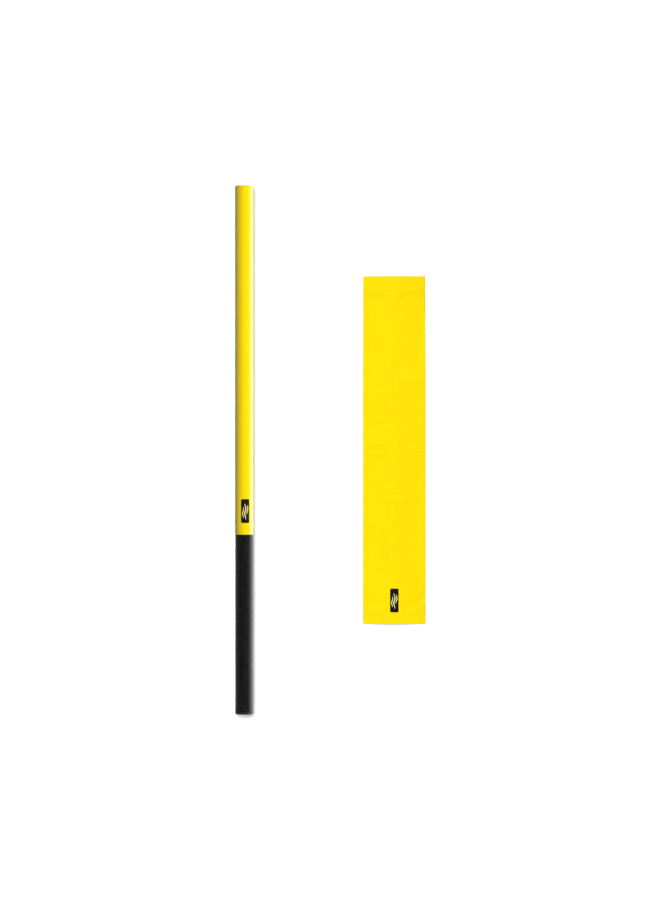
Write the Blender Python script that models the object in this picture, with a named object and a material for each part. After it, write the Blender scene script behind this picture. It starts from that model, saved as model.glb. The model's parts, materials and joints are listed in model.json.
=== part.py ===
"""Windsock with its telescopic pole, packed away and laid side by side on the ground.

The collapsed pole lies along +Y with its mouth at +Y and its grip at -Y.  The windsock
lies flat beside it on the +X side, mouth at +Y.  +Z is up, the ground is z = 0 and the
origin is under the middle of the whole layout.  Every length is in metres.

The pole's pieces are turned about the pole's own axis, which is local +Z of the empty
"pole": local z = 0 is the butt face and local z = POLE_LENGTH is the mouth.
"""

import math

import bmesh
import bpy

# ------------------------------------------------------------------ driving dimensions
POLE_LENGTH = 1.150         # collapsed, butt face to mouth
TUBE_RADIUS = 0.0200        # over the glossy outer jacket
GRIP_RADIUS = 0.0193        # the rubber grip is a little slimmer than the jacket
GRIP_TOP = 0.391            # grip's upper end, from the butt face
SOCK_LENGTH = 0.758         # mouth edge to tail edge
SOCK_FLAT_WIDTH = 0.138     # half the sock's circumference
SPACING = 0.327             # pole's axis to the sock's centre line
LABEL_WIDTH = 0.0186
LABEL_LENGTH = 0.052
LABEL_CORNER = 0.0030
LABEL_TO_GRIP = 0.0254      # label's lower edge above the grip
LABEL_TO_TAIL = 0.0251      # label's lower edge above the sock's tail edge
LABEL_TURN = 0.14           # the pole's label sits this many radians round to +X

GAP = 0.0003                # between pieces that touch
SIDES = 32                  # round pieces, with flats facing down, up and to both sides
SMOOTH_BELOW = 35           # degrees between faces that still shade as one surface
CORNER_TURNS = (0, 35, 65, 90)   # degrees round a label's corner where it has a column

# ------------------------------------------------------------------ pole: base section
JACKET_WALL = 0.0014
CORE_RADIUS = TUBE_RADIUS - JACKET_WALL - GAP
CORE_WALL = 0.0012
CORE_BORE = CORE_RADIUS - CORE_WALL
EDGE_CHAMFER = 0.0005

# ------------------------------------------------------------------ pole: butt end
CAP_FLANGE = 0.0040         # thickness of the screw cap's flange
CAP_CHAMFER = 0.0010
SEAL_THICKNESS = 0.0010
CORE_START = CAP_FLANGE + SEAL_THICKNESS + 2 * GAP
FERRULE_WALL = 0.0010
SPIGOT_TOP = 0.0180         # top of the cap's threaded spigot
SPIGOT_RADIUS = CORE_BORE - FERRULE_WALL - 2 * GAP
SPIGOT_WALL = 0.0030
SLOT_LENGTH = 0.0240        # coin slot across the cap's end face
SLOT_WIDTH = 0.0026
SLOT_DEPTH = 0.0018
SECTION_START = 0.0260      # where the inner sections stand on the cushion pad

# ------------------------------------------------------------------ pole: inner sections
SECTION_NAMES = ("section_2", "section_3", "section_4", "tip_section")
SECTION_TOP = 1.0960        # their closed upper ends, from the butt face
SECTION_LENGTH = SECTION_TOP - SECTION_START
SECTION_WALL = 0.0011
RING_WALL = 0.0010          # bushes and stop rings between one section and the next
SECTION_STEP = SECTION_WALL + RING_WALL + 2 * GAP
STOP_HEIGHT = 0.0300
BUSH_HEIGHT = 0.0500
BUSH_LIP = 0.0020
BASE_BUSH_BOTTOM = 1.0740
BASE_BUSH_TOP = 1.1260

# ------------------------------------------------------------------ pole: tip fittings
TIP_SPIGOT = 0.0200         # tip ferrule's length inside the tip section
STEM_RADIUS = 0.0022
SHOULDER_RADIUS = 0.0050
SHOULDER_HEIGHT = 0.0026
NUT_RADIUS = 0.0045
NUT_HEIGHT = 0.0045
EYE_RADIUS = 0.0070
EYE_HOLE_RADIUS = 0.0042
EYE_THICKNESS = 0.0032
EYE_SIDES = 24
EYE_SOFTNESS = EYE_THICKNESS / 4   # chamfer all round the eye
PLUG_HEIGHT = 0.0220        # the bung's length in the pole's mouth
PLUG_HUB_RADIUS = 0.0100
PLUG_SOCKET_RADIUS = 0.0076
PLUG_SOCKET_TOP = 1.1155
PLUG_HUB_BOTTOM = 1.1002
FINGER_RADIUS = 0.0130      # round pocket in the bung's face
FINGER_BAR = 0.0060         # bar left standing across the pocket
FINGER_DEPTH = 0.0100

# ------------------------------------------------------------------ windsock
SKIN = 0.0008               # cloth thickness, as a solid
SKIN_EDGE = 0.0016          # height of the sock's side edges
INNER_EDGE = 0.0003
EDGE_TAPER = 5.0            # the side edges are sharp, so walls close in faster sideways
BODY_RISE = 0.0100          # height of the flattened sock
MOUTH_RISE = 0.0140         # the springy hoop holds the mouth a little higher
RISE_FROM = 0.120           # y where the sock begins to rise towards its mouth
RISE_STEPS = 6
ARCH_STEPS = 16
MOUTH_HEM = 0.0250
TAIL_HEM = 0.0145
MOUTH_HEM_WALL = 0.0022
TAIL_HEM_WALL = 0.0016
HOOP_WIDTH = 0.0080
HOOP_THICKNESS = 0.0008
JOINER_LENGTH = 0.0120
TAPE_WIDTH = 0.0120
TAPE_THICKNESS = 0.0006
TAB_WIDTH = 0.0120
TAB_LENGTH = 0.0200
TAB_THICKNESS = 0.0008
TAB_HOLE_RADIUS = 0.0018
TAB_HOLE_SIDES = 16
TAB_FROM_MOUTH = 0.0160     # tab's middle, back from the mouth edge
LABEL_THICKNESS = 0.0003

# ------------------------------------------------------------------ where the pieces lie
MOUTH_Y = SOCK_LENGTH / 2
SOCK_HALF = SOCK_FLAT_WIDTH / 2 - (2 / 3) * BODY_RISE**2 / SOCK_FLAT_WIDTH
POLE_X = -(SPACING + SOCK_HALF - TUBE_RADIUS) / 2
SOCK_X = POLE_X + SPACING

YELLOW = (0.98, 0.78, 0.01)
CORE_YELLOW = (0.80, 0.62, 0.05)
CLOTH_YELLOW = (1.00, 0.77, 0.00)
GRIP_BLACK = (0.022, 0.022, 0.023)
PLASTIC_BLACK = (0.015, 0.015, 0.016)
PAD_GREY = (0.10, 0.10, 0.10)
ALLOY = (0.72, 0.73, 0.75)
STEEL = (0.55, 0.56, 0.58)
LABEL_BLACK = (0.010, 0.010, 0.011)
WHITE_PLASTIC = (0.80, 0.80, 0.78)


# ------------------------------------------------------------------ scene helpers
def clear_scene():
    for item in list(bpy.data.objects):
        bpy.data.objects.remove(item, do_unlink=True)


def finish(name, colour, roughness, metallic):
    """A plain Principled material for one sub-part."""
    material = bpy.data.materials.new(name)
    material.use_nodes = True
    shader = material.node_tree.nodes["Principled BSDF"]
    shader.inputs["Base Color"].default_value = (*colour, 1.0)
    shader.inputs["Roughness"].default_value = roughness
    shader.inputs["Metallic"].default_value = metallic
    return material


def empty(name, location, rotation=(0.0, 0.0, 0.0)):
    item = bpy.data.objects.new(name, None)
    item.location = location
    item.rotation_euler = rotation
    bpy.context.collection.objects.link(item)
    return item


def piece(name, bm, parent, look=None, location=(0.0, 0.0, 0.0)):
    """Turn a bmesh into a named object; look is (colour, roughness, metallic)."""
    bmesh.ops.recalc_face_normals(bm, faces=bm.faces)
    mesh = bpy.data.meshes.new(name)
    bm.to_mesh(mesh)
    bm.free()
    mesh.shade_smooth()
    mesh.set_sharp_from_angle(angle=math.radians(SMOOTH_BELOW))
    item = bpy.data.objects.new(name, mesh)
    item.parent = parent
    item.location = location
    bpy.context.collection.objects.link(item)
    if look:
        mesh.materials.append(finish(name, *look))
    return item


def cut(target, cutter, operation="DIFFERENCE"):
    """Boolean the cutter into the target; the cutter stays as a hidden guide."""
    modifier = target.modifiers.new(operation.lower(), "BOOLEAN")
    modifier.operation = operation
    modifier.object = cutter
    cutter.hide_render = True
    cutter.display_type = "WIRE"


# ------------------------------------------------------------------ shape helpers
def turned(profile, sides=SIDES):
    """Spin (radius, z) points about Z.  The flats lie at the stated radii.

    A profile that starts and ends on the axis makes a solid; any other is closed into
    a ring.
    """
    bm = bmesh.new()
    half_step = math.pi / sides
    stretch = 1 / math.cos(half_step)
    verts = [
        bm.verts.new((r * stretch * math.cos(half_step), r * stretch * math.sin(half_step), z))
        for r, z in profile
    ]
    on_axis = profile[0][0] == 0 and profile[-1][0] == 0
    ends = verts[1:] if on_axis else verts[1:] + verts[:1]
    edges = [bm.edges.new(pair) for pair in zip(verts, ends)]
    bmesh.ops.spin(
        bm, geom=verts + edges, cent=(0, 0, 0), axis=(0, 0, 1),
        angle=math.tau, steps=sides, use_merge=True,
    )
    bmesh.ops.remove_doubles(bm, verts=bm.verts, dist=1e-6)
    return bm


def ring_profile(inner, outer, bottom, top, chamfer=0.0):
    """A plain ring's section, with its outer edges chamfered."""
    if not chamfer:
        return [(inner, bottom), (outer, bottom), (outer, top), (inner, top)]
    return [
        (inner, bottom), (outer - chamfer, bottom), (outer, bottom + chamfer),
        (outer, top - chamfer), (outer - chamfer, top), (inner, top),
    ]


def looped(loops):
    """Bridge a closed series of closed loops, each with the same number of points."""
    bm = bmesh.new()
    rings = [[bm.verts.new(point) for point in loop] for loop in loops]
    for here, there in zip(rings, rings[1:] + rings[:1]):
        count = len(here)
        for i in range(count):
            j = (i + 1) % count
            bm.faces.new((here[i], here[j], there[j], there[i]))
    return bm


def columns_between(sections):
    """Join a row of four-cornered sections into one solid with flat ends."""
    bm = bmesh.new()
    rows = [[bm.verts.new(point) for point in section] for section in sections]
    for here, there in zip(rows, rows[1:]):
        for i in range(4):
            j = (i + 1) % 4
            bm.faces.new((here[i], here[j], there[j], there[i]))
    bm.faces.new(rows[0])
    bm.faces.new(rows[-1])
    return bm


def block(lows, highs):
    """A box between two corners."""
    (x0, y0, z0), (x1, y1, z1) = lows, highs
    return columns_between([
        [(x, y0, z0), (x, y1, z0), (x, y1, z1), (x, y0, z1)] for x in (x0, x1)
    ])


def facet_radius(flat_radius, angle):
    """Radius at an angle of a SIDES-sided polygon with a flat centred on angle 0."""
    step = math.tau / SIDES
    off_flat = (angle + step / 2) % step - step / 2
    return flat_radius / math.cos(off_flat)


def label_solid(place, extra_columns=()):
    """A thin rounded rectangle, bent by place(across, along, height)."""
    half_width = LABEL_WIDTH / 2
    half_length = LABEL_LENGTH / 2
    corner_starts = half_width - LABEL_CORNER
    corner_columns = [
        corner_starts + LABEL_CORNER * math.sin(math.radians(turn)) for turn in CORNER_TURNS
    ]
    offsets = [side * offset for offset in corner_columns for side in (-1, 1)]
    sections = []
    for across in sorted(offsets + list(extra_columns)):
        into_corner = max(0.0, abs(across) - corner_starts)
        shortened = LABEL_CORNER - math.sqrt(max(0.0, LABEL_CORNER**2 - into_corner**2))
        end = half_length - shortened
        sections.append([
            place(across, -end, 0.0), place(across, end, 0.0),
            place(across, end, LABEL_THICKNESS), place(across, -end, LABEL_THICKNESS),
        ])
    return columns_between(sections)


# ------------------------------------------------------------------ pole: base section
def build_base(pole):
    jacket_inner = TUBE_RADIUS - JACKET_WALL
    core = ring_profile(CORE_BORE, CORE_RADIUS, CORE_START, POLE_LENGTH)
    piece("base_tube", turned(core), pole, (CORE_YELLOW, 0.40, 0.0))

    jacket = ring_profile(jacket_inner, TUBE_RADIUS, GRIP_TOP + GAP, POLE_LENGTH, EDGE_CHAMFER)
    piece("base_jacket", turned(jacket), pole, (YELLOW, 0.18, 0.0))

    grip = ring_profile(jacket_inner, GRIP_RADIUS, CORE_START, GRIP_TOP, EDGE_CHAMFER)
    piece("grip_sleeve", turned(grip), pole, (GRIP_BLACK, 0.85, 0.0))

    bush_outer = CORE_BORE - GAP
    bush = ring_profile(bush_outer - RING_WALL, bush_outer, BASE_BUSH_BOTTOM, BASE_BUSH_TOP)
    piece("base_bush", turned(bush), pole, (PLASTIC_BLACK, 0.55, 0.0))

    build_pole_label(pole)


def build_pole_label(pole):
    """The label is wrapped over the jacket near its top, which is local -Y of the pole."""
    middle = GRIP_TOP + LABEL_TO_GRIP + LABEL_LENGTH / 2
    seat = TUBE_RADIUS + GAP

    def place(across, along, height):
        angle = across / seat + LABEL_TURN
        radius = facet_radius(seat + height, angle)
        return (radius * math.sin(angle), -radius * math.cos(angle), middle + along)

    facet_edges = [seat * (math.pi / SIDES * odd - LABEL_TURN) for odd in range(-5, 6, 2)]
    under_label = [edge for edge in facet_edges if abs(edge) < LABEL_WIDTH / 2 - GAP]
    piece("pole_label", label_solid(place, under_label), pole, (LABEL_BLACK, 0.35, 0.0))


# ------------------------------------------------------------------ pole: butt end
def build_butt(pole):
    cup = SPIGOT_RADIUS - SPIGOT_WALL
    cap_profile = [
        (0, 0), (GRIP_RADIUS - CAP_CHAMFER, 0), (GRIP_RADIUS, CAP_CHAMFER),
        (GRIP_RADIUS, CAP_FLANGE), (SPIGOT_RADIUS, CAP_FLANGE), (SPIGOT_RADIUS, SPIGOT_TOP),
        (cup, SPIGOT_TOP), (cup, CAP_FLANGE), (0, CAP_FLANGE),
    ]
    cap = piece("butt_cap", turned(cap_profile), pole, (PLASTIC_BLACK, 0.50, 0.0))
    slot_half = (SLOT_LENGTH / 2, SLOT_WIDTH / 2)
    slot = block((-slot_half[0], -slot_half[1], -SLOT_DEPTH), (*slot_half, SLOT_DEPTH))
    cut(cap, piece("coin_slot_cutter", slot, pole))

    pad_profile = [
        (0, CAP_FLANGE + GAP), (cup - GAP, CAP_FLANGE + GAP), (cup - GAP, SPIGOT_TOP + GAP),
        (SPIGOT_RADIUS, SPIGOT_TOP + GAP), (SPIGOT_RADIUS, SECTION_START - GAP),
        (0, SECTION_START - GAP),
    ]
    piece("cushion_pad", turned(pad_profile), cap, (PAD_GREY, 0.90, 0.0))

    seal_bottom = CAP_FLANGE + GAP
    seal = ring_profile(
        SPIGOT_RADIUS + 2 * GAP, GRIP_RADIUS - GAP, seal_bottom, seal_bottom + SEAL_THICKNESS
    )
    piece("butt_seal", turned(seal), pole, (PLASTIC_BLACK, 0.80, 0.0))

    ferrule_outer = CORE_BORE - GAP
    ferrule = ring_profile(
        ferrule_outer - FERRULE_WALL, ferrule_outer, CORE_START, SECTION_START - GAP
    )
    piece("butt_ferrule", turned(ferrule), pole, (ALLOY, 0.35, 1.0))


# ------------------------------------------------------------------ pole: inner sections
def build_section(name, parent, outer, butt_z):
    """One inner section with its stop ring and, but for the tip, its mouth bush."""
    bore = outer - SECTION_WALL
    tube_top = SECTION_LENGTH - BUSH_LIP - GAP
    tube = piece(
        name, turned(ring_profile(bore, outer, 0.0, tube_top)), parent,
        (CORE_YELLOW, 0.35, 0.0), location=(0.0, 0.0, butt_z),
    )
    stop = ring_profile(outer + GAP, outer + GAP + RING_WALL, 0.0, STOP_HEIGHT)
    stop_name = "tip_stop" if name == "tip_section" else f"{name}_stop"
    piece(stop_name, turned(stop), tube, (PLASTIC_BLACK, 0.50, 0.0))
    if name != "tip_section":
        lip_bottom = SECTION_LENGTH - BUSH_LIP
        bush_inner = bore - GAP - RING_WALL
        bush = [
            (bush_inner, lip_bottom - BUSH_HEIGHT), (bore - GAP, lip_bottom - BUSH_HEIGHT),
            (bore - GAP, lip_bottom), (outer, lip_bottom),
            (outer, SECTION_LENGTH), (bush_inner, SECTION_LENGTH),
        ]
        piece(f"{name}_bush", turned(bush), tube, (PLASTIC_BLACK, 0.50, 0.0))
    return tube


def build_sections(pole):
    """The sections stand one inside the next, all on the cushion pad."""
    parent = pole
    butt_z = SECTION_START
    outer = CORE_BORE - RING_WALL - 2 * GAP
    for name in SECTION_NAMES:
        tube = build_section(name, parent, outer, butt_z)
        parent = tube
        butt_z = 0.0
        tip_bore = outer - SECTION_WALL
        outer -= SECTION_STEP
    return tube, tip_bore


# ------------------------------------------------------------------ pole: tip fittings
def build_tip(tip, tip_bore):
    """Ferrule, swivel eye and transport bung, all in the tip section's own frame."""
    lip_bottom = SECTION_LENGTH - BUSH_LIP
    spigot_bottom = lip_bottom - TIP_SPIGOT
    hole = STEM_RADIUS + GAP
    ferrule = [
        (hole, spigot_bottom), (tip_bore - GAP, spigot_bottom), (tip_bore - GAP, lip_bottom),
        (tip_bore + SECTION_WALL, lip_bottom), (tip_bore + SECTION_WALL, SECTION_LENGTH),
        (hole, SECTION_LENGTH),
    ]
    piece("tip_ferrule", turned(ferrule), tip, (ALLOY, 0.30, 1.0))

    nut_top = spigot_bottom - GAP
    nut_bottom = nut_top - NUT_HEIGHT
    eye = build_swivel_eye(tip, nut_bottom)
    nut = ring_profile(STEM_RADIUS + GAP, NUT_RADIUS, nut_bottom, nut_top)
    piece("swivel_nut", turned(nut), eye, (STEEL, 0.30, 1.0))
    build_plug(tip)


def build_swivel_eye(tip, stem_bottom):
    """A turned stem with a shoulder, and a flat eye standing on it."""
    shoulder_bottom = SECTION_LENGTH + GAP
    shoulder_top = shoulder_bottom + SHOULDER_HEIGHT
    eye_middle = shoulder_top + EYE_RADIUS - EYE_SOFTNESS
    stem_profile = [
        (0, stem_bottom), (STEM_RADIUS, stem_bottom), (STEM_RADIUS, shoulder_bottom),
        (SHOULDER_RADIUS, shoulder_bottom), (SHOULDER_RADIUS, shoulder_top),
        (STEM_RADIUS, shoulder_top), (STEM_RADIUS, eye_middle - EYE_HOLE_RADIUS - GAP),
        (0, eye_middle - EYE_HOLE_RADIUS - GAP),
    ]
    stem = piece("swivel_eye", turned(stem_profile), tip, (STEEL, 0.25, 1.0))
    half = EYE_THICKNESS / 2
    soft = EYE_SOFTNESS
    ring = [
        (EYE_HOLE_RADIUS, soft - half), (EYE_HOLE_RADIUS + soft, -half),
        (EYE_RADIUS - soft, -half), (EYE_RADIUS, soft - half),
        (EYE_RADIUS, half - soft), (EYE_RADIUS - soft, half),
        (EYE_HOLE_RADIUS + soft, half), (EYE_HOLE_RADIUS, half - soft),
    ]
    eye = piece("eye_ring_guide", turned(ring, EYE_SIDES), stem, location=(0, 0, eye_middle))
    eye.rotation_euler = (math.pi / 2, 0, 0)
    cut(stem, eye, "UNION")
    return stem


def build_plug(tip):
    """Rubber bung: it closes the mouth and its hollow hub slips over the swivel eye."""
    down = SECTION_START
    top = POLE_LENGTH - down
    bottom = top - PLUG_HEIGHT
    outer = CORE_BORE - GAP
    hub_bottom = PLUG_HUB_BOTTOM - down
    socket_top = PLUG_SOCKET_TOP - down
    profile = [
        (0, socket_top), (PLUG_SOCKET_RADIUS, socket_top), (PLUG_SOCKET_RADIUS, hub_bottom),
        (PLUG_HUB_RADIUS, hub_bottom), (PLUG_HUB_RADIUS, bottom),
        (outer - CAP_CHAMFER, bottom), (outer, bottom + CAP_CHAMFER),
        (outer, top - EDGE_CHAMFER), (outer - EDGE_CHAMFER, top), (0, top),
    ]
    plug = piece("mouth_plug", turned(profile), tip, (GRIP_BLACK, 0.80, 0.0))
    pocket = [
        (0, top - FINGER_DEPTH), (FINGER_RADIUS, top - FINGER_DEPTH),
        (FINGER_RADIUS, top + FINGER_DEPTH), (0, top + FINGER_DEPTH),
    ]
    pocket_cutter = piece("finger_pocket_cutter", turned(pocket), plug)
    reach = 2 * FINGER_RADIUS
    bar = block(
        (-reach, -FINGER_BAR / 2, top - 2 * FINGER_DEPTH),
        (reach, FINGER_BAR / 2, top + 2 * FINGER_DEPTH),
    )
    cut(pocket_cutter, piece("finger_bar_guide", bar, plug))
    cut(plug, pocket_cutter)


# ------------------------------------------------------------------ windsock
def rise_at(y):
    """Height of the flattened sock, which grows smoothly towards the mouth."""
    t = (y - RISE_FROM) / (MOUTH_Y - MOUTH_HEM - RISE_FROM)
    t = min(1.0, max(0.0, t))
    return BODY_RISE + (MOUTH_RISE - BODY_RISE) * t * t * (3 - 2 * t)


def half_width_at(y):
    """A sock that rises gets narrower, because its circumference stays the same."""
    return SOCK_FLAT_WIDTH / 2 - (2 / 3) * rise_at(y) ** 2 / SOCK_FLAT_WIDTH


def arch_z(x, y, inset=0.0):
    """Height of the upper cloth at x, or of a surface inset from it."""
    edge = SKIN_EDGE if inset == 0 else INNER_EDGE
    width = half_width_at(y) - EDGE_TAPER * inset
    return inset + edge + (rise_at(y) - 2 * inset - edge) * (1 - (x / width) ** 2)


def sock_loop(y, inset=0.0):
    """Closed outline across the sock at y: flat below and arched above."""
    width = half_width_at(y) - EDGE_TAPER * inset
    loop = [(-width, y, inset), (width, y, inset)]
    for step in range(ARCH_STEPS + 1):
        x = width * (1 - 2 * step / ARCH_STEPS)
        loop.append((x, y, arch_z(x, y, inset)))
    return loop


def sock_shell(stations, outer_inset, inner_inset):
    """A sleeve through the y stations, between two insets from the outside."""
    outside = [sock_loop(y, outer_inset) for y in stations]
    inside = [sock_loop(y, inner_inset) for y in reversed(stations)]
    return looped(outside + inside)


def build_sleeve(sock, sleeve_start, sleeve_end):
    rising = [
        RISE_FROM + (sleeve_end - RISE_FROM) * i / RISE_STEPS for i in range(RISE_STEPS + 1)
    ]
    sleeve = sock_shell([sleeve_start] + rising, 0.0, SKIN)
    piece("sock_sleeve", sleeve, sock, (CLOTH_YELLOW, 0.75, 0.0))

    tape_bottom = SKIN + GAP
    tape = block(
        (-TAPE_WIDTH / 2, sleeve_start, tape_bottom),
        (TAPE_WIDTH / 2, sleeve_end, tape_bottom + TAPE_THICKNESS),
    )
    piece("seam_tape", tape, sock, (CLOTH_YELLOW, 0.80, 0.0))


def build_mouth_hem(sock, hem_start):
    """The mouth hem is a channel, open to the inside, that holds the springy hoop."""
    middle = (hem_start + MOUTH_Y) / 2
    channel_half = HOOP_WIDTH / 2 + GAP
    outside = [sock_loop(y) for y in (hem_start, MOUTH_Y)]
    inside_steps = [
        (MOUTH_Y, MOUTH_HEM_WALL), (middle + channel_half, MOUTH_HEM_WALL),
        (middle + channel_half, SKIN), (middle - channel_half, SKIN),
        (middle - channel_half, MOUTH_HEM_WALL), (hem_start, MOUTH_HEM_WALL),
    ]
    inside = [sock_loop(y, inset) for y, inset in inside_steps]
    piece("mouth_hem", looped(outside + inside), sock, (CLOTH_YELLOW, 0.75, 0.0))

    hoop_inset = SKIN + GAP
    hoop_inner = hoop_inset + HOOP_THICKNESS
    hoop_ends = (middle - HOOP_WIDTH / 2, middle + HOOP_WIDTH / 2)
    hoop = piece(
        "mouth_hoop", sock_shell(hoop_ends, hoop_inset, hoop_inner), sock,
        (WHITE_PLASTIC, 0.40, 0.0),
    )
    opening = JOINER_LENGTH / 2 + GAP
    opening_block = block(
        (-opening, middle - HOOP_WIDTH, -hoop_inner), (opening, middle + HOOP_WIDTH, 2 * hoop_inner)
    )
    cut(hoop, piece("hoop_opening_cutter", opening_block, sock))
    joiner = block(
        (-JOINER_LENGTH / 2, hoop_ends[0], hoop_inset), (JOINER_LENGTH / 2, hoop_ends[1], hoop_inner)
    )
    piece("hoop_joiner", joiner, sock, (ALLOY, 0.35, 1.0))


def build_bridle_tabs(sock):
    """Three webbing tabs a third of the way round from each other, inside the mouth."""
    y = MOUTH_Y - TAB_FROM_MOUTH
    low_z = MOUTH_HEM_WALL + GAP
    high_z = arch_z(TAB_WIDTH / 2, y, MOUTH_HEM_WALL) - GAP - TAB_THICKNESS
    third_of_girth = 2 * SOCK_FLAT_WIDTH / 3
    side_x = SOCK_FLAT_WIDTH - third_of_girth
    places = [(0.0, high_z), (-side_x, low_z), (side_x, low_z)]
    for number, (x, z) in enumerate(places, start=1):
        half = (TAB_WIDTH / 2, TAB_LENGTH / 2)
        tab = piece(
            f"bridle_tab_{number}", block((-half[0], -half[1], 0.0), (*half, TAB_THICKNESS)),
            sock, (GRIP_BLACK, 0.80, 0.0), location=(x, y, z),
        )
        hole = turned(
            [(0, -TAB_THICKNESS), (TAB_HOLE_RADIUS, -TAB_THICKNESS),
             (TAB_HOLE_RADIUS, 2 * TAB_THICKNESS), (0, 2 * TAB_THICKNESS)], TAB_HOLE_SIDES,
        )
        eyelet_y = TAB_LENGTH / 4
        cutter = piece(f"eyelet_cutter_{number}", hole, tab, location=(0.0, eyelet_y, 0.0))
        cut(tab, cutter)


def build_sock_label(sock):
    middle = -MOUTH_Y + LABEL_TO_TAIL + LABEL_LENGTH / 2

    def place(across, along, height):
        return (across, middle + along, arch_z(across, middle) + GAP + height)

    piece("sock_label", label_solid(place), sock, (LABEL_BLACK, 0.45, 0.0))


def build_windsock(sock):
    tail_end = -MOUTH_Y + TAIL_HEM
    hem_start = MOUTH_Y - MOUTH_HEM
    build_sleeve(sock, tail_end + GAP, hem_start - GAP)
    build_mouth_hem(sock, hem_start)
    tail = sock_shell([-MOUTH_Y, tail_end], 0.0, TAIL_HEM_WALL)
    piece("tail_hem", tail, sock, (CLOTH_YELLOW, 0.75, 0.0))
    build_bridle_tabs(sock)
    build_sock_label(sock)


# ------------------------------------------------------------------ the whole object
def build():
    clear_scene()
    pole = empty("pole", (POLE_X, -POLE_LENGTH / 2, TUBE_RADIUS), (-math.pi / 2, 0.0, 0.0))
    build_base(pole)
    build_butt(pole)
    tip, tip_bore = build_sections(pole)
    build_tip(tip, tip_bore)
    sock = empty("sock", (SOCK_X, 0.0, 0.0))
    build_windsock(sock)


build()
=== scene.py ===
"""Looks, light and camera for the windsock and its collapsed telescopic pole.

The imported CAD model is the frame.  Every piece built here is in metres in that frame and
rides on a CAD body.  Along the pole, s is the distance from the butt face towards +Y.
"""

import json
import math

import bmesh
import bpy
import numpy as np
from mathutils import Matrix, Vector
from mathutils.bvhtree import BVHTree

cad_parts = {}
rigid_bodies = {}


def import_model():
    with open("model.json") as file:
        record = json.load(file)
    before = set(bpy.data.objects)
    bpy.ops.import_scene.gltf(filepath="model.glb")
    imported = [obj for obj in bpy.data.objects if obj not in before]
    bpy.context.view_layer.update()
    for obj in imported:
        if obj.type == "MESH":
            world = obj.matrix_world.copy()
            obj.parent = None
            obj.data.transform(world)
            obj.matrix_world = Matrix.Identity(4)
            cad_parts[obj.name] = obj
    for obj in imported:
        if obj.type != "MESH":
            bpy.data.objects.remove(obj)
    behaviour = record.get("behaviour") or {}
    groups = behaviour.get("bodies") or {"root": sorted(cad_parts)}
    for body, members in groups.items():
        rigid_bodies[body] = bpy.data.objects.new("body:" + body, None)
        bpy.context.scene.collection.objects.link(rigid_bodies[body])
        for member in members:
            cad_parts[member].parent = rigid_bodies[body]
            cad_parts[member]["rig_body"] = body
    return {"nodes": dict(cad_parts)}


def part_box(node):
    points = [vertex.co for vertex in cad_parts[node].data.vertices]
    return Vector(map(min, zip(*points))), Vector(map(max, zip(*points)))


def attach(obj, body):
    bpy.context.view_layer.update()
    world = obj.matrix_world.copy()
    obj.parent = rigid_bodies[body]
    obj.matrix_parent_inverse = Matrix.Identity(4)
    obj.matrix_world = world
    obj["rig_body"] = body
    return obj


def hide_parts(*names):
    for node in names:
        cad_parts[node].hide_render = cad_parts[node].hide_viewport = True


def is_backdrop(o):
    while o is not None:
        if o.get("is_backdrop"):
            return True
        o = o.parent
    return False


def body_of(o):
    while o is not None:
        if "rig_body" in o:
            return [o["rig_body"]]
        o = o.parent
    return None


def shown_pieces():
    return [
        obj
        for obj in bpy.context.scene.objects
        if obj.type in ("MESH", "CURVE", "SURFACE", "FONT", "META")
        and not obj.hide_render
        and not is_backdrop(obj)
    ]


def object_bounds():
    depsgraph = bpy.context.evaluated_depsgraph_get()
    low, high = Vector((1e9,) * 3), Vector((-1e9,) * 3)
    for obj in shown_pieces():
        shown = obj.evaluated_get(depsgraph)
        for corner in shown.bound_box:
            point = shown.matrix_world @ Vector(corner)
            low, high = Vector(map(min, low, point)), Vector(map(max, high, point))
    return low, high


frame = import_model()
CAD_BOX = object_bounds()


# ------------------------------------------------------------------ places from the frame
def middle_of(node, axis):
    low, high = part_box(node)
    return (low[axis] + high[axis]) / 2


def radius_of(node):
    low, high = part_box(node)
    return (high.x - low.x) / 2


BUTT_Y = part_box("butt_cap")[0].y
POLE_X = middle_of("base_jacket", 0)
AXIS_Z = middle_of("base_jacket", 2)


def span_of(node):
    """Where a node starts and ends along the pole."""
    low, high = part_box(node)
    return low.y - BUTT_Y, high.y - BUTT_Y


# ------------------------------------------------------------------ sizes, as in the CAD
JACKET_INNER = 0.0186
CORE_WALL = 0.0012
CORE_BORE = 0.0171
RING_WALL = 0.0010
SECTION_WALL = 0.0011
BUSH_LIP = 0.0020
BUSH_HEIGHT = 0.0500
CAP_FLANGE = 0.0040
SPIGOT_RADIUS = 0.0155
SPIGOT_TOP = 0.0180
CUP_RADIUS = 0.0125
SLOT_SIZE = (0.0240, 0.0026, 0.0018)
THREAD_PITCH = 0.0020
THREAD_DEPTH = 0.0007
STEM_RADIUS = 0.0022
SHOULDER_RADIUS = 0.0050
SHOULDER_HEIGHT = 0.0026
EYE_RADIUS = 0.0070
EYE_HOLE_RADIUS = 0.0042
EYE_THICKNESS = 0.0032
PLUG_HEIGHT = 0.0220
PLUG_HUB_RADIUS = 0.0100
PLUG_SOCKET_RADIUS = 0.0076
PLUG_SOCKET_TOP = 1.1155
FINGER_RADIUS = 0.0130
FINGER_BAR = 0.0060
FINGER_DEPTH = 0.0100

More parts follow.
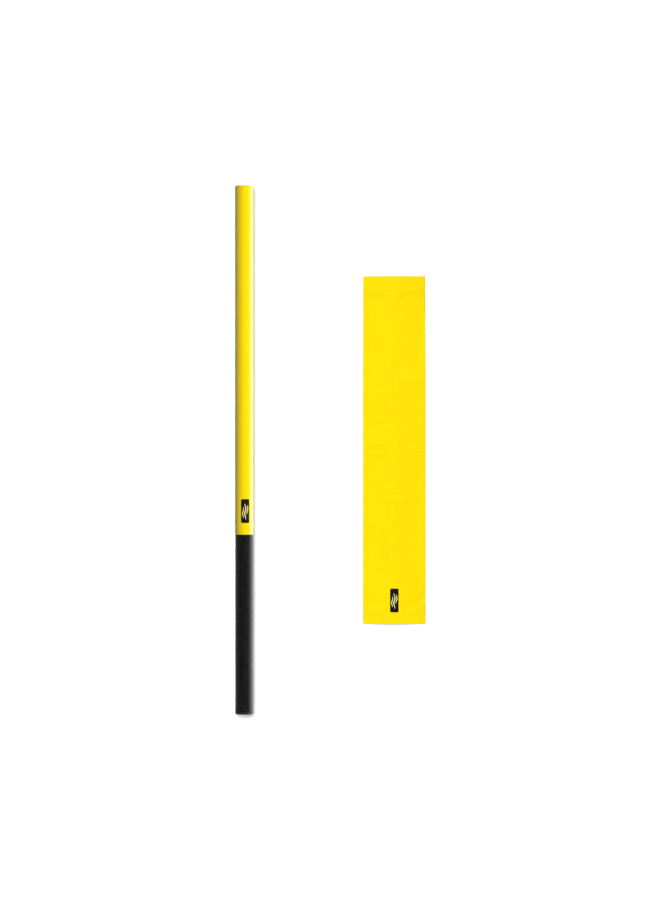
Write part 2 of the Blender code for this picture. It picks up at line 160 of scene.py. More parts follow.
SOCK_X = middle_of("sock_sleeve", 0)
TAIL_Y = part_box("tail_hem")[0].y
MOUTH_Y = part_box("mouth_hem")[1].y
SOCK_FLAT_WIDTH = 0.138
BODY_RISE = 0.0100
MOUTH_RISE = 0.0140
RISE_FROM = 0.120
MOUTH_HEM = 0.0250
TAIL_HEM = 0.0145
SKIN_EDGE = 0.0016
HEM_START = MOUTH_Y - MOUTH_HEM
TAIL_END = TAIL_Y + TAIL_HEM
LABEL_Y = middle_of("sock_label", 1)

LABEL_WIDTH = 0.0186
LABEL_LENGTH = 0.052
LABEL_TURN = 0.14           # radians from the top of the pole towards +X
LABEL_CORNER = 0.0030

TAB_HOLE_RADIUS = 0.0018
GAP = 0.0003

TUBE_SIDES = 128
SMALL_SIDES = 64


# ------------------------------------------------------------------ materials
class Look:
    """A procedural material: one Principled shader fed by patterns in object space."""

    def __init__(self, name, roughness, metallic=0.0, **sockets):
        self.material = bpy.data.materials.new(name)
        self.material.use_nodes = True
        self.tree = self.material.node_tree
        self.shader = self.tree.nodes["Principled BSDF"]
        self.shader.inputs["Roughness"].default_value = roughness
        self.shader.inputs["Metallic"].default_value = metallic
        for socket, value in sockets.items():
            self.shader.inputs[socket.replace("_", " ")].default_value = value
        self.coords = self.node("ShaderNodeTexCoord").outputs["Object"]
        self.height = None

    def node(self, kind, **settings):
        made = self.tree.nodes.new(kind)
        for setting, value in settings.items():
            setattr(made, setting, value)
        return made

    def feed(self, socket, value):
        if isinstance(value, bpy.types.NodeSocket):
            self.tree.links.new(value, socket)
        else:
            socket.default_value = value

    def math(self, operation, first, second=0.0, third=0.0):
        made = self.node("ShaderNodeMath", operation=operation)
        for socket, value in zip(made.inputs, (first, second, third)):
            self.feed(socket, value)
        return made.outputs[0]

    def stretched(self, scale):
        """Object coordinates times a scale for each axis."""
        mapping = self.node("ShaderNodeMapping")
        mapping.inputs["Scale"].default_value = scale
        self.feed(mapping.inputs["Vector"], self.coords)
        return mapping.outputs[0]

    def noise(self, scale, detail=3.0, roughness=0.5, distortion=0.0):
        """Noise from 0 to 1; scale is cells per metre, the same or one for each axis."""
        even = not isinstance(scale, tuple)
        made = self.node("ShaderNodeTexNoise")
        self.feed(made.inputs["Vector"], self.coords if even else self.stretched(scale))
        made.inputs["Scale"].default_value = scale if even else 1.0
        made.inputs["Detail"].default_value = detail
        made.inputs["Roughness"].default_value = roughness
        made.inputs["Distortion"].default_value = distortion
        return made.outputs["Fac"]

    def cells(self, scale, randomness=1.0):
        made = self.node("ShaderNodeTexVoronoi", feature="SMOOTH_F1")
        self.feed(made.inputs["Vector"], self.coords)
        made.inputs["Scale"].default_value = scale
        made.inputs["Randomness"].default_value = randomness
        return made.outputs["Distance"]

    def axis(self, index):
        made = self.node("ShaderNodeSeparateXYZ")
        self.feed(made.inputs[0], self.coords)
        return made.outputs[index]

    def ripple(self, value, period):
        """A sine of that period in metres, from 0 to 1."""
        wave = self.math("SINE", self.math("MULTIPLY", value, math.tau / period))
        return self.math("MULTIPLY_ADD", wave, 0.5, 0.5)

    def lines(self, value, period, width):
        """1 on a line of that width in every period, else 0, with soft sides."""
        saw = self.math("PINGPONG", value, period / 2)
        return self.ranged(saw, width / 2, width, 1.0, 0.0)

    def ranged(self, value, low, high, to_low, to_high):
        made = self.node("ShaderNodeMapRange", interpolation_type="SMOOTHSTEP")
        for socket, number in zip(made.inputs, (value, low, high, to_low, to_high)):
            self.feed(socket, number)
        return made.outputs[0]

    def colour(self, factor, first, second):
        """Base colour from first to second as factor goes from 0 to 1."""
        mix = self.node("ShaderNodeMix", data_type="RGBA")
        self.feed(mix.inputs["Factor"], factor)
        mix.inputs["A"].default_value = (*first, 1.0)
        mix.inputs["B"].default_value = (*second, 1.0)
        for socket in mix.inputs:
            if socket.type == "RGBA":
                socket.default_value = (*(first if socket.name == "A" else second), 1.0)
        output = next(o for o in mix.outputs if o.type == "RGBA")
        self.feed(self.shader.inputs["Base Color"], output)

    def rough(self, factor, low, high):
        self.feed(self.shader.inputs["Roughness"], self.ranged(factor, 0.3, 0.7, low, high))

    def bump(self, height, distance, strength=1.0):
        """Adds one more layer of bump, of that height in metres."""
        made = self.node("ShaderNodeBump")
        made.inputs["Distance"].default_value = distance
        made.inputs["Strength"].default_value = strength
        self.feed(made.inputs["Height"], height)
        if self.height is not None:
            self.feed(made.inputs["Normal"], self.height)
        self.height = made.outputs["Normal"]
        self.feed(self.shader.inputs["Normal"], self.height)

    def pole_angle(self):
        """Angle round the pole's axis, in radians."""
        across = self.math("SUBTRACT", self.axis("X"), POLE_X)
        above = self.math("SUBTRACT", self.axis("Z"), AXIS_Z)
        return self.math("ARCTAN2", across, above)


SAFETY_YELLOW = (0.800, 0.605, 0.0005)
SAFETY_YELLOW_DEEP = (0.780, 0.580, 0.0004)


def jacket_look():
    """Glossy extruded sleeve: faint lines along it, orange peel and a few scuffs."""
    look = Look("glossy_yellow_sleeve", 0.40, Specular_IOR_Level=0.5, Coat_Weight=0.4, Coat_Roughness=0.08)
    look.colour(look.noise(9.0, 4.0), SAFETY_YELLOW, SAFETY_YELLOW_DEEP)
    look.rough(look.noise((260.0, 30.0, 260.0), 4.0, 0.6), 0.34, 0.44)
    look.bump(look.noise((900.0, 2.5, 900.0), 2.0), 0.000010, 0.5)
    look.bump(look.noise(260.0, 1.0), 0.000025, 0.4)
    return look.material


def glass_fibre_look():
    """Pigmented glass fibre under clear resin, wound in two crossing spirals."""
    look = Look("wound_glass_fibre", 0.28, Coat_Weight=0.35, Coat_Roughness=0.10)
    turn = look.math("MULTIPLY", look.pole_angle(), 0.0030 / math.tau * 4)
    along = look.axis("Y")
    first = look.ripple(look.math("ADD", along, turn), 0.0030)
    second = look.ripple(look.math("SUBTRACT", along, turn), 0.0030)
    weave = look.math("MULTIPLY", first, second)
    blotch = look.noise((500.0, 60.0, 500.0), 5.0, 0.6)
    look.colour(
        look.math("MULTIPLY_ADD", weave, 0.5, look.math("MULTIPLY", blotch, 0.5)),
        (0.42, 0.28, 0.010), (0.62, 0.46, 0.030),
    )
    look.rough(blotch, 0.22, 0.36)
    look.bump(weave, 0.00004, 0.5)
    return look.material


def grip_look():
    """Matte moulded rubber, finely pebbled and a little mottled."""
    look = Look("matte_grip_rubber", 0.38, Specular_IOR_Level=0.2)
    mottle = look.noise(170.0, 5.0, 0.65)
    look.colour(look.ranged(mottle, 0.35, 0.70, 0.0, 1.0), (0.0055, 0.0055, 0.0057), (0.0125, 0.0125, 0.0128))
    look.rough(mottle, 0.34, 0.46)
    look.bump(look.cells(1300.0), 0.00016, 0.55)
    look.bump(look.noise(90.0, 3.0), 0.00025, 0.4)
    return look.material


def soft_rubber_look():
    look = Look("soft_black_rubber", 0.75, Specular_IOR_Level=0.35)
    dust = look.noise(240.0, 5.0, 0.7)
    look.colour(dust, (0.010, 0.010, 0.011), (0.030, 0.029, 0.028))
    look.rough(dust, 0.66, 0.88)
    look.bump(look.noise(1500.0, 3.0), 0.00006, 0.5)
    return look.material


def moulded_plastic_look(name, dark, light, low, high, grain):
    """Spark-eroded moulded plastic with a fine grain."""
    look = Look(name, (low + high) / 2)
    patch = look.noise(140.0, 4.0, 0.6)
    look.colour(patch, dark, light)
    look.rough(patch, low, high)
    look.bump(look.noise(grain, 4.0, 0.6), 0.00005, 0.6)
    return look.material


def turned_metal_look(name, dark, light, low, high):
    """Metal with fine rings from the lathe, round the pole's axis."""
    look = Look(name, (low + high) / 2, metallic=1.0)
    rings = look.noise((40.0, 9000.0, 40.0), 3.0, 0.6)
    patch = look.noise(300.0, 4.0, 0.6)
    look.colour(patch, dark, light)
    look.rough(rings, low, high)
    look.bump(rings, 0.000010, 0.6)
    return look.material


def label_look():
    """Thin satin film with the cloth or sleeve just telling through it."""
    look = Look("black_label_film", 0.38, Coat_Weight=0.2, Coat_Roughness=0.25)
    scuff = look.noise((900.0, 120.0, 900.0), 5.0, 0.7)
    look.colour(look.ranged(scuff, 0.45, 0.80, 0.0, 1.0), (0.0045, 0.0045, 0.0050), (0.020, 0.020, 0.021))
    look.rough(scuff, 0.30, 0.48)
    look.bump(look.noise(700.0, 3.0), 0.00003, 0.4)
    return look.material


def print_look():
    """Pale yellow print on the labels."""
    look = Look("pale_label_print", 0.55)
    look.colour(look.noise(1800.0, 3.0), (0.70, 0.64, 0.26), (0.78, 0.72, 0.34))
    look.bump(look.noise(2600.0, 2.0), 0.00002, 0.4)
    return look.material


def cloth_look():
    """Ripstop nylon: plain weave with a heavier thread every 5 mm both ways."""
    look = Look("ripstop_nylon", 0.62, Specular_IOR_Level=0.22, Sheen_Weight=0.06, Sheen_Roughness=0.5)
    across = look.axis("X")
    along = look.axis("Y")
    warp = look.ripple(across, 0.00052)
    weft = look.ripple(along, 0.00052)
    weave = look.math("MULTIPLY", warp, weft)
    ribs = look.math(
        "MAXIMUM", look.lines(across, 0.0052, 0.00045), look.lines(along, 0.0052, 0.00045)
    )
    cloud = look.noise(14.0, 4.0, 0.55)
    tone = look.math("MULTIPLY_ADD", ribs, 0.45, look.math("MULTIPLY", cloud, 0.55))
    look.colour(tone, (0.810, 0.615, 0.0005), (0.785, 0.580, 0.0004))
    look.rough(cloud, 0.56, 0.70)
    look.bump(weave, 0.00006, 0.55)
    look.bump(ribs, 0.00010, 0.5)
    return look.material


def thread_look():
    look = Look("yellow_sewing_thread", 0.55, Sheen_Weight=0.2)
    twist = look.ripple(look.math("ADD", look.axis("X"), look.axis("Y")), 0.00035)
    look.colour(twist, (0.60, 0.42, 0.006), (0.70, 0.53, 0.020))
    look.bump(twist, 0.00006, 0.6)
    return look.material


def webbing_look(name, dark, light, pitch):
    """Flat woven tape: chevrons of thread along Y."""
    look = Look(name, 0.72, Specular_IOR_Level=0.3, Sheen_Weight=0.15)
    along = look.axis("Y")
    slant = look.math("PINGPONG", look.axis("X"), 0.0015)
    chevron = look.ripple(look.math("ADD", along, slant), pitch)
    columns = look.ripple(look.axis("X"), pitch * 1.2)
    weave = look.math("MULTIPLY", chevron, columns)
    look.colour(weave, dark, light)
    look.bump(weave, 0.00020, 0.7)
    return look.material


LOOKS = {
    "jacket": jacket_look(),
    "glass_fibre": glass_fibre_look(),
    "grip_rubber": grip_look(),
    "soft_rubber": soft_rubber_look(),
    "cap_plastic": moulded_plastic_look(
        "moulded_black_plastic", (0.012, 0.012, 0.013), (0.022, 0.022, 0.023), 0.40, 0.55, 2200.0),
    "bush_plastic": moulded_plastic_look(
        "acetal_bush", (0.010, 0.010, 0.011), (0.017, 0.017, 0.018), 0.25, 0.38, 900.0),
    "alloy": turned_metal_look(
        "turned_alloy", (0.70, 0.71, 0.73), (0.80, 0.81, 0.82), 0.22, 0.36),
    "steel": turned_metal_look(
        "stainless_steel", (0.50, 0.51, 0.52), (0.62, 0.62, 0.63), 0.14, 0.26),
    "label_film": label_look(),
    "label_print": print_look(),
    "sock_cloth": cloth_look(),
    "thread": thread_look(),
    "hoop_plastic": moulded_plastic_look(
        "hoop_plastic", (0.72, 0.72, 0.69), (0.80, 0.80, 0.78), 0.35, 0.50, 700.0),
    "webbing": webbing_look("black_webbing", (0.006, 0.006, 0.007), (0.030, 0.030, 0.032), 0.0011),
    "tape": webbing_look("yellow_seam_tape", (0.50, 0.37, 0.004), (0.66, 0.51, 0.010), 0.0009),
}


# ------------------------------------------------------------------ mesh helpers
def link(name, mesh, look):
    mesh.materials.append(LOOKS[look])
    item = bpy.data.objects.new(name, mesh)
    bpy.context.scene.collection.objects.link(item)
    return item


def shaped(name, bm, look, sharp=38):
    """A bmesh as a smooth-shaded object, with edges sharp where faces turn."""
    bmesh.ops.recalc_face_normals(bm, faces=bm.faces)
    mesh = bpy.data.meshes.new(name)
    bm.to_mesh(mesh)
    bm.free()
    mesh.shade_smooth()
    mesh.set_sharp_from_angle(angle=math.radians(sharp))
    return link(name, mesh, look)


def settle(item, body, slot, *nodes):
    """The piece rides on a body and stands for CAD nodes; slot is not used."""
    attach(item, body)
    if nodes:
        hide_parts(*nodes)
    return item


def baked(item):
    """Apply the modifiers, so that the mesh is what shows."""
    graph = bpy.context.evaluated_depsgraph_get()
    mesh = bpy.data.meshes.new_from_object(item.evaluated_get(graph))
    item.modifiers.clear()
    item.data = mesh
    return item


def boolean(target, cutter, operation="DIFFERENCE"):
    modifier = target.modifiers.new(operation.lower(), "BOOLEAN")
    modifier.operation = operation
    modifier.solver = "EXACT"
    modifier.object = cutter
    baked(target)
    bpy.data.objects.remove(cutter)
    target.data.shade_smooth()
    target.data.set_sharp_from_angle(angle=math.radians(38))
    return target


def softened(item, width):
    """Round the sharp edges that a boolean leaves."""
    modifier = item.modifiers.new("soft", "BEVEL")
    modifier.width = width
    modifier.segments = 2
    modifier.limit_method = "ANGLE"
    modifier.angle_limit = math.radians(50)
    baked(item)
    item.data.shade_smooth()
    item.data.set_sharp_from_angle(angle=math.radians(38))


def filleted(points, steps=3):
    """Round a profile's corners: a point's third number is its corner's radius."""
    rounded = []
    for i, point in enumerate(points):
        if len(point) < 3:
            rounded.append(point)
            continue
        here = Vector(point[:2])
        back = (Vector(points[i - 1][:2]) - here).normalized()
        ahead = (Vector(points[(i + 1) % len(points)][:2]) - here).normalized()
        half = back.angle(ahead) / 2
        centre = here + (back + ahead).normalized() * point[2] / math.sin(half)
        start = here + back * point[2] / math.tan(half) - centre
        end = here + ahead * point[2] / math.tan(half) - centre
        turn = start.angle(end)
        for step in range(steps + 1):
            t = step / steps
            arm = (start * math.sin((1 - t) * turn) + end * math.sin(t * turn)) / math.sin(turn)
            rounded.append(tuple(centre + arm))
    return rounded


def pole_point(angle, radius, s):
    """Angle 0 is on top of the pole and grows towards +X."""
    return (
        POLE_X + radius * math.sin(angle), BUTT_Y + s, AXIS_Z + radius * math.cos(angle)
    )


def spun(profile, sides, point_at, radius_at=None):
    """Spin (radius, station) points; closed into a ring unless both ends are on the axis."""
    bm = bmesh.new()
    rings = []
    for radius, station in profile:
        if radius == 0:
            rings.append([bm.verts.new(point_at(0.0, 0.0, station))] * sides)
            continue
        ring = []
        for i in range(sides):
            angle = math.tau * i / sides
            reach = radius_at(radius, angle, station) if radius_at else radius
            ring.append(bm.verts.new(point_at(angle, reach, station)))
        rings.append(ring)
    on_axis = profile[0][0] == 0 and profile[-1][0] == 0
    for here, there in zip(rings, rings[1:] + ([] if on_axis else rings[:1])):
        for i in range(sides):
            j = (i + 1) % sides
            corners = dict.fromkeys((here[i], here[j], there[j], there[i]))
            if len(corners) > 2:
                bm.faces.new(corners)
    return bm


def turned(name, look, profile, sides=TUBE_SIDES, radius_at=None):
    return shaped(name, spun(filleted(profile), sides, pole_point, radius_at), look)


def ring(inner, outer, bottom, top, soft=0.0002):
    return [(inner, bottom, soft), (outer, bottom, soft), (outer, top, soft), (inner, top, soft)]


def block(name, low, high):
    bm = bmesh.new()
    bmesh.ops.create_cube(bm, size=1.0)
    low, high = Vector(low), Vector(high)
    for vert in bm.verts:
        vert.co = Vector(a * b for a, b in zip(vert.co, high - low)) + (low + high) / 2
    return shaped(name, bm, "cap_plastic")


def film(name, look, stations, place, thickness, across=10):
    """A thin closed patch. A station is a pair of (u, v) ends, filled with points."""
    bm = bmesh.new()
    layers = []
    for lift in (0.0, thickness):
        grid = []
        for (u0, v0), (u1, v1) in stations:
            steps = [i / across for i in range(across + 1)]
            grid.append([
                bm.verts.new(place(u0 + (u1 - u0) * t, v0 + (v1 - v0) * t, lift)) for t in steps
            ])
        layers.append(grid)
    for grid in layers:
        for here, there in zip(grid, grid[1:]):
            for i in range(across):
                bm.faces.new((here[i], here[i + 1], there[i + 1], there[i]))
    low, high = layers
    rim = [(0, i) for i in range(across)]
    rim += [(row, across) for row in range(len(stations) - 1)]
    rim += [(len(stations) - 1, across - i) for i in range(across)]
    rim += [(len(stations) - 1 - row, 0) for row in range(len(stations) - 1)]
    for here, there in zip(rim, rim[1:] + rim[:1]):
        bm.faces.new((
            low[here[0]][here[1]], low[there[0]][there[1]],
            high[there[0]][there[1]], high[here[0]][here[1]],
        ))
    return shaped(name, bm, look, sharp=50)


# ------------------------------------------------------------------ labels
def label_stations():
    """A rounded rectangle, as columns across its width."""
    half_width, half_length = LABEL_WIDTH / 2, LABEL_LENGTH / 2
    straight = half_width - LABEL_CORNER
    offsets = [straight * i / 8 for i in range(-8, 9)]
    arc = [straight + LABEL_CORNER * math.sin(math.pi / 2 * i / 6) for i in range(1, 7)]
    offsets = [-x for x in reversed(arc)] + offsets + arc
    stations = []
    for u in offsets:
        into = max(0.0, abs(u) - straight)
        end = half_length - LABEL_CORNER + math.sqrt(max(0.0, LABEL_CORNER**2 - into**2))
        stations.append(((u, -end), (u, end)))
    return stations


STREAKS = (  # middle across, from and to along the label, width: all in metres
    (-0.0046, -0.0150, 0.0090, 0.0019),
    (0.0000, -0.0185, 0.0165, 0.0023),
    (0.0046, -0.0070, 0.0130, 0.0019),
)


def streak_stations(middle, start, end, width):
    """A streak of wind: a wavy stroke that thins towards both ends."""
    stations = []
    steps = 36
    for i in range(steps + 1):
        t = i / steps
        v = start + (end - start) * t
        half = width / 2 * max(0.04, math.sin(math.pi * t) ** 0.45)
        wave = middle + 0.0011 * math.sin(v * math.tau / 0.022)
        stations.append(((wave - half, v), (wave + half, v)))
    return stations


def label(name, place, body, node):
    """Film and print; place(u, v, height) puts a point of the label on its surface."""
    base = film(name, "label_film", label_stations(), place, 0.00018, across=40)
    settle(base, body, "label_film", node)
    for number, streak in enumerate(STREAKS, start=1):
        mark = film(
            f"{name}_streak_{number}", "label_print", streak_stations(*streak),
            lambda u, v, h: place(u, v, h + 0.00019), 0.00005, across=4,
        )
        settle(mark, body, "label_film")
    return base


# ------------------------------------------------------------------ pole: base section
def build_base():
    body = "pole_base"
    low, high = span_of("base_jacket")
    outer = radius_of("base_jacket")
    jacket = turned("glossy_sleeve", "jacket", [
        (JACKET_INNER, low, 0.0002), (outer, low, 0.0005),
        (outer, high, 0.0006), (JACKET_INNER, high, 0.0002),
    ])
    settle(jacket, body, "jacket", "base_jacket")

    low, high = span_of("grip_sleeve")
    grip_radius = radius_of("grip_sleeve")
    steps = 130
    rows = [(grip_radius, low + 0.001 + (high - low - 0.002) * i / steps) for i in range(steps + 1)]
    grip = turned("rubber_grip", "grip_rubber", [
        (JACKET_INNER, low, 0.0002), (grip_radius, low, 0.0006), *rows,
        (grip_radius, high, 0.0007), (JACKET_INNER, high, 0.0002),
    ], radius_at=grip_swell)
    settle(grip, body, "grip_rubber", "grip_sleeve")

    low, high = span_of("base_tube")
    core = turned("core_tube", "glass_fibre", ring(CORE_BORE, CORE_BORE + CORE_WALL, low, high))
    settle(core, body, "glass_fibre", "base_tube")

    low, high = span_of("base_bush")
    outer = radius_of("base_bush")
    bush = turned("guide_bush", "bush_plastic", ring(outer - RING_WALL, outer, low, high, 0.0003))
    settle(bush, body, "bush_plastic", "base_bush")

    middle = middle_of("pole_label", 1)
    seat = radius_of("base_jacket") + 0.00002

    def on_jacket(u, v, height):
        return pole_point(LABEL_TURN + u / seat, seat + height, middle + v - BUTT_Y)

    label("pole_badge", on_jacket, body, "pole_label")


def grip_swell(radius, angle, s):
    """The hand-stretched grip is a few hundredths of a millimetre uneven."""
    if radius < 0.0188:
        return radius
    wave = math.sin(s * 41.0 + 1.3 * math.sin(angle)) + math.sin(s * 97.0 - 2.0 * angle)
    return radius - 0.00003 * (2.0 + wave)


# ------------------------------------------------------------------ pole: butt end
KNURLS = 45
SLOT_EASE = 0.0004


def cap_surface(radius, angle, s):
    """Knurls round the flange's rim and a screw thread along the spigot."""
    if radius > SPIGOT_RADIUS + 0.0030 and s > 0.0004:
        return radius - 0.00028 * (0.5 - 0.5 * math.cos(KNURLS * angle))
    if abs(radius - SPIGOT_RADIUS) < 1e-6 and s > CAP_FLANGE + 0.0008:
        phase = (s / THREAD_PITCH - angle / math.tau) % 1.0
        crest = abs(2 * phase - 1)
        fade = min(1.0, (s - CAP_FLANGE - 0.0008) / 0.001, (SPIGOT_TOP - s) / 0.0012)
        return radius - THREAD_DEPTH * crest * max(0.0, fade)
    return radius


def slot_cutter():
    """The coin slot: round at both ends, with an eased rim."""
    width, height, depth = SLOT_SIZE
    half = height / 2

    def slot_point(angle, radius, s):
        x = radius * math.cos(angle) + math.copysign(width / 2 - half, math.cos(angle))
        return POLE_X + x, BUTT_Y + s, AXIS_Z + radius * math.sin(angle)

    profile = [
        (0, depth), (half, depth, 0.0003), (half, SLOT_EASE, 0.0004),
        (half + 2 * SLOT_EASE, -SLOT_EASE), (0, -SLOT_EASE),
    ]
    return shaped("slot_cutter", spun(filleted(profile), SMALL_SIDES, slot_point), "cap_plastic")


def build_butt():
    rim = radius_of("butt_cap")
    rows = 84
    thread = [
        (SPIGOT_RADIUS, CAP_FLANGE + 0.0004 + (SPIGOT_TOP - CAP_FLANGE - 0.0008) * i / rows)
        for i in range(rows + 1)
    ]
    cap = turned("screw_cap", "cap_plastic", [
        (0, 0), (rim - 0.0056, 0, 0.0002), (rim - 0.0052, 0.0003, 0.0002),
        (rim - 0.0046, 0.0003, 0.0002), (rim - 0.0042, 0, 0.0002), (rim - 0.0022, 0, 0.0010), (rim - 0.0010, 0.0003, 0.0004), (rim, 0.0012, 0.0004),
        (rim, CAP_FLANGE, 0.0003), (SPIGOT_RADIUS, CAP_FLANGE), *thread,
        (SPIGOT_RADIUS - 0.0004, SPIGOT_TOP), (CUP_RADIUS, SPIGOT_TOP, 0.0003),
        (CUP_RADIUS, CAP_FLANGE, 0.0005), (0, CAP_FLANGE),
    ], sides=KNURLS * 4, radius_at=cap_surface)
    boolean(cap, slot_cutter())
    settle(cap, "butt_cap", "cap_plastic", "butt_cap")

    low, high = span_of("butt_seal")
    outer = radius_of("butt_seal")
    seal = turned("sealing_washer", "soft_rubber", ring(SPIGOT_RADIUS + 2 * GAP, outer, low, high, 0.0003))
    settle(seal, "cap_seal", "soft_rubber", "butt_seal")


# ------------------------------------------------------------------ pole: inner sections
def build_sections():
    for name in ("section_2", "section_3", "section_4", "tip_section"):
        low, high = span_of(name)
        outer = radius_of(name)
        bore = outer - SECTION_WALL
        tube = turned(f"{name}_tube", "glass_fibre", ring(bore, outer, low, high))
        settle(tube, name, "glass_fibre", name)
        if name != "tip_section":
            node = f"{name}_bush"
            low, high = span_of(node)
            inner = bore - GAP - RING_WALL
            bush = turned(f"{name}_end_bush", "bush_plastic", [
                (inner, low, 0.0002), (bore - GAP, low, 0.0002), (bore - GAP, high - BUSH_LIP),
                (outer, high - BUSH_LIP, 0.0002), (outer, high, 0.0005), (inner, high, 0.0003),
            ])
            settle(bush, name, "bush_plastic", node)


# ------------------------------------------------------------------ pole: tip fittings
def build_tip():
    low, high = span_of("tip_ferrule")
    outer = radius_of("tip_ferrule")
    hole = STEM_RADIUS + GAP
    bore = outer - SECTION_WALL - GAP
    ferrule = turned("tip_end_ferrule", "alloy", [
        (hole, low), (bore, low, 0.0003), (bore, high - BUSH_LIP),
        (outer, high - BUSH_LIP, 0.0002), (outer, high, 0.0005), (hole, high, 0.0003),
    ])
    settle(ferrule, "tip_section", "alloy", "tip_ferrule")
    build_swivel_eye(high)
    build_plug()


def build_swivel_eye(ferrule_top):
    """A turned stem with a shoulder, blended into a flat forged eye."""
    low, high = span_of("swivel_eye")
    shoulder = ferrule_top + GAP
    neck = shoulder + SHOULDER_HEIGHT
    middle = high - EYE_RADIUS
    stem_top = middle - EYE_HOLE_RADIUS - 0.0006
    stem = turned("swivel_stem_and_eye", "steel", [
        (0, low), (STEM_RADIUS, low, 0.0004), (STEM_RADIUS, shoulder),
        (SHOULDER_RADIUS, shoulder, 0.0004), (SHOULDER_RADIUS, neck, 0.0009),
        (STEM_RADIUS + 0.0003, neck, 0.0004), (STEM_RADIUS + 0.0003, stem_top), (0, stem_top),
    ], sides=SMALL_SIDES)
    half = EYE_THICKNESS / 2
    section = [
        (EYE_HOLE_RADIUS, -half, 0.0011), (EYE_RADIUS, -half, 0.0011),
        (EYE_RADIUS, half, 0.0011), (EYE_HOLE_RADIUS, half, 0.0011),
    ]

    def eye_point(angle, radius, z):
        return (
            POLE_X + radius * math.cos(angle), BUTT_Y + middle + radius * math.sin(angle),
            AXIS_Z + z,
        )

    eye = shaped("eye_ring", spun(filleted(section, 5), SMALL_SIDES, eye_point), "steel")
    boolean(stem, eye, "UNION")
    settle(stem, "swivel", "steel", "swivel_eye")


def build_plug():
    """Rubber bung with two finger pockets; its hub is hollow to hold the swivel eye."""
    low, top = span_of("mouth_plug")
    outer = radius_of("mouth_plug")
    bottom = top - PLUG_HEIGHT
    plug = turned("mouth_bung", "soft_rubber", [
        (0, PLUG_SOCKET_TOP), (PLUG_SOCKET_RADIUS, PLUG_SOCKET_TOP, 0.0006),
        (PLUG_SOCKET_RADIUS, low, 0.0006), (PLUG_HUB_RADIUS, low, 0.0008),
        (PLUG_HUB_RADIUS, bottom, 0.0006), (outer, bottom, 0.0010),
        (outer, bottom + 0.0050), (outer - 0.0004, bottom + 0.0056),
        (outer - 0.0004, bottom + 0.0068), (outer, bottom + 0.0074),
        (outer, bottom + 0.0120), (outer - 0.0004, bottom + 0.0126),
        (outer - 0.0004, bottom + 0.0138), (outer, bottom + 0.0144),
        (outer, top, 0.0007), (0, top),
    ])
    pockets = turned("pocket_cutter", "soft_rubber", [
        (0, top - FINGER_DEPTH), (FINGER_RADIUS, top - FINGER_DEPTH, 0.0012),
        (FINGER_RADIUS, top + FINGER_DEPTH), (0, top + FINGER_DEPTH),
    ])
    reach = 2 * FINGER_RADIUS
    bar = block(
        "bar_cutter",
        (POLE_X - reach, BUTT_Y + top - 2 * FINGER_DEPTH, AXIS_Z - FINGER_BAR / 2),
        (POLE_X + reach, BUTT_Y + top + 2 * FINGER_DEPTH, AXIS_Z + FINGER_BAR / 2),
    )
    boolean(pockets, bar)
    boolean(plug, pockets)
    softened(plug, 0.0006)
    settle(plug, "mouth_plug", "soft_rubber", "mouth_plug")


# ------------------------------------------------------------------ CAD nodes that stay
def finish_cad_nodes():
    """Hidden pieces whose CAD shape is right keep it, with a material."""
    for node, slot in (
        ("butt_ferrule", "alloy"), ("cushion_pad", "soft_rubber"),
        ("section_2_stop", "bush_plastic"), ("section_3_stop", "bush_plastic"),
        ("section_4_stop", "bush_plastic"), ("tip_stop", "bush_plastic"),
        ("swivel_nut", "steel"), ("mouth_hoop", "hoop_plastic"), ("hoop_joiner", "alloy"),
    ):
        item = frame["nodes"][node]
        item.data.materials.clear()
        item.data.materials.append(LOOKS[slot])


# ------------------------------------------------------------------ windsock: cloth
CLOTH = 0.0004              # shown thickness of the cloth
TOP_COLUMNS = 56
BOTTOM_COLUMNS = 28
ROW_STEP = 0.0030
HEM_STEP = 0.0010
FOLD = 0.0005               # radius of the sock's side folds
LAYER_GAP = 0.0018          # between the two layers of the mouth hem, round the hoop
TAIL_GAP = 0.0007
EASE = 0.009                # how much longer the cloth is than the shape it lies over
RIPPLE = 0.0018             # unevenness it starts from
START_LOW = 0.0026          # how far below the CAD's skin it starts
SETTLE_FRAMES = 26
MOST_MOVE = 0.0035          # from the CAD's skin, once settled
LOWEST_TOP = 0.0012


def rise_at(y):
    """Height of the flattened sock, which grows smoothly towards the mouth."""
    t = (y - RISE_FROM) / (MOUTH_Y - MOUTH_HEM - RISE_FROM)
    t = min(1.0, max(0.0, t))
    return BODY_RISE + (MOUTH_RISE - BODY_RISE) * t * t * (3 - 2 * t)


def half_width_at(y):
    return SOCK_FLAT_WIDTH / 2 - (2 / 3) * rise_at(y) ** 2 / SOCK_FLAT_WIDTH


def arch_z(x, y):
    """Height of the upper cloth's outer side, x being from the sock's centre line."""
    return SKIN_EDGE + (rise_at(y) - SKIN_EDGE) * (1 - (x / half_width_at(y)) ** 2)


def stations():
    """Rows along the sock: fine over the hems, coarser between them."""
    rows, y = [], TAIL_Y
    while y < MOUTH_Y - 1e-6:
        rows.append(y)
        in_hem = y < TAIL_END + 0.005 or y > HEM_START - 0.005
        y += HEM_STEP if in_hem else ROW_STEP
    rows.append(MOUTH_Y)
    return rows


ROWS = stations()


def smooth(value, low, high):
    t = min(1.0, max(0.0, (value - low) / (high - low)))
    return t * t * (3 - 2 * t)


def label_hold(x, y):
    """1 under the label, which keeps the cloth smooth, down to 0 a little way off."""
    past_side = abs(x - SOCK_X) - LABEL_WIDTH / 2
    past_end = abs(y - LABEL_Y) - LABEL_LENGTH / 2
    return 1 - smooth(max(past_side, past_end), 0.001, 0.024)


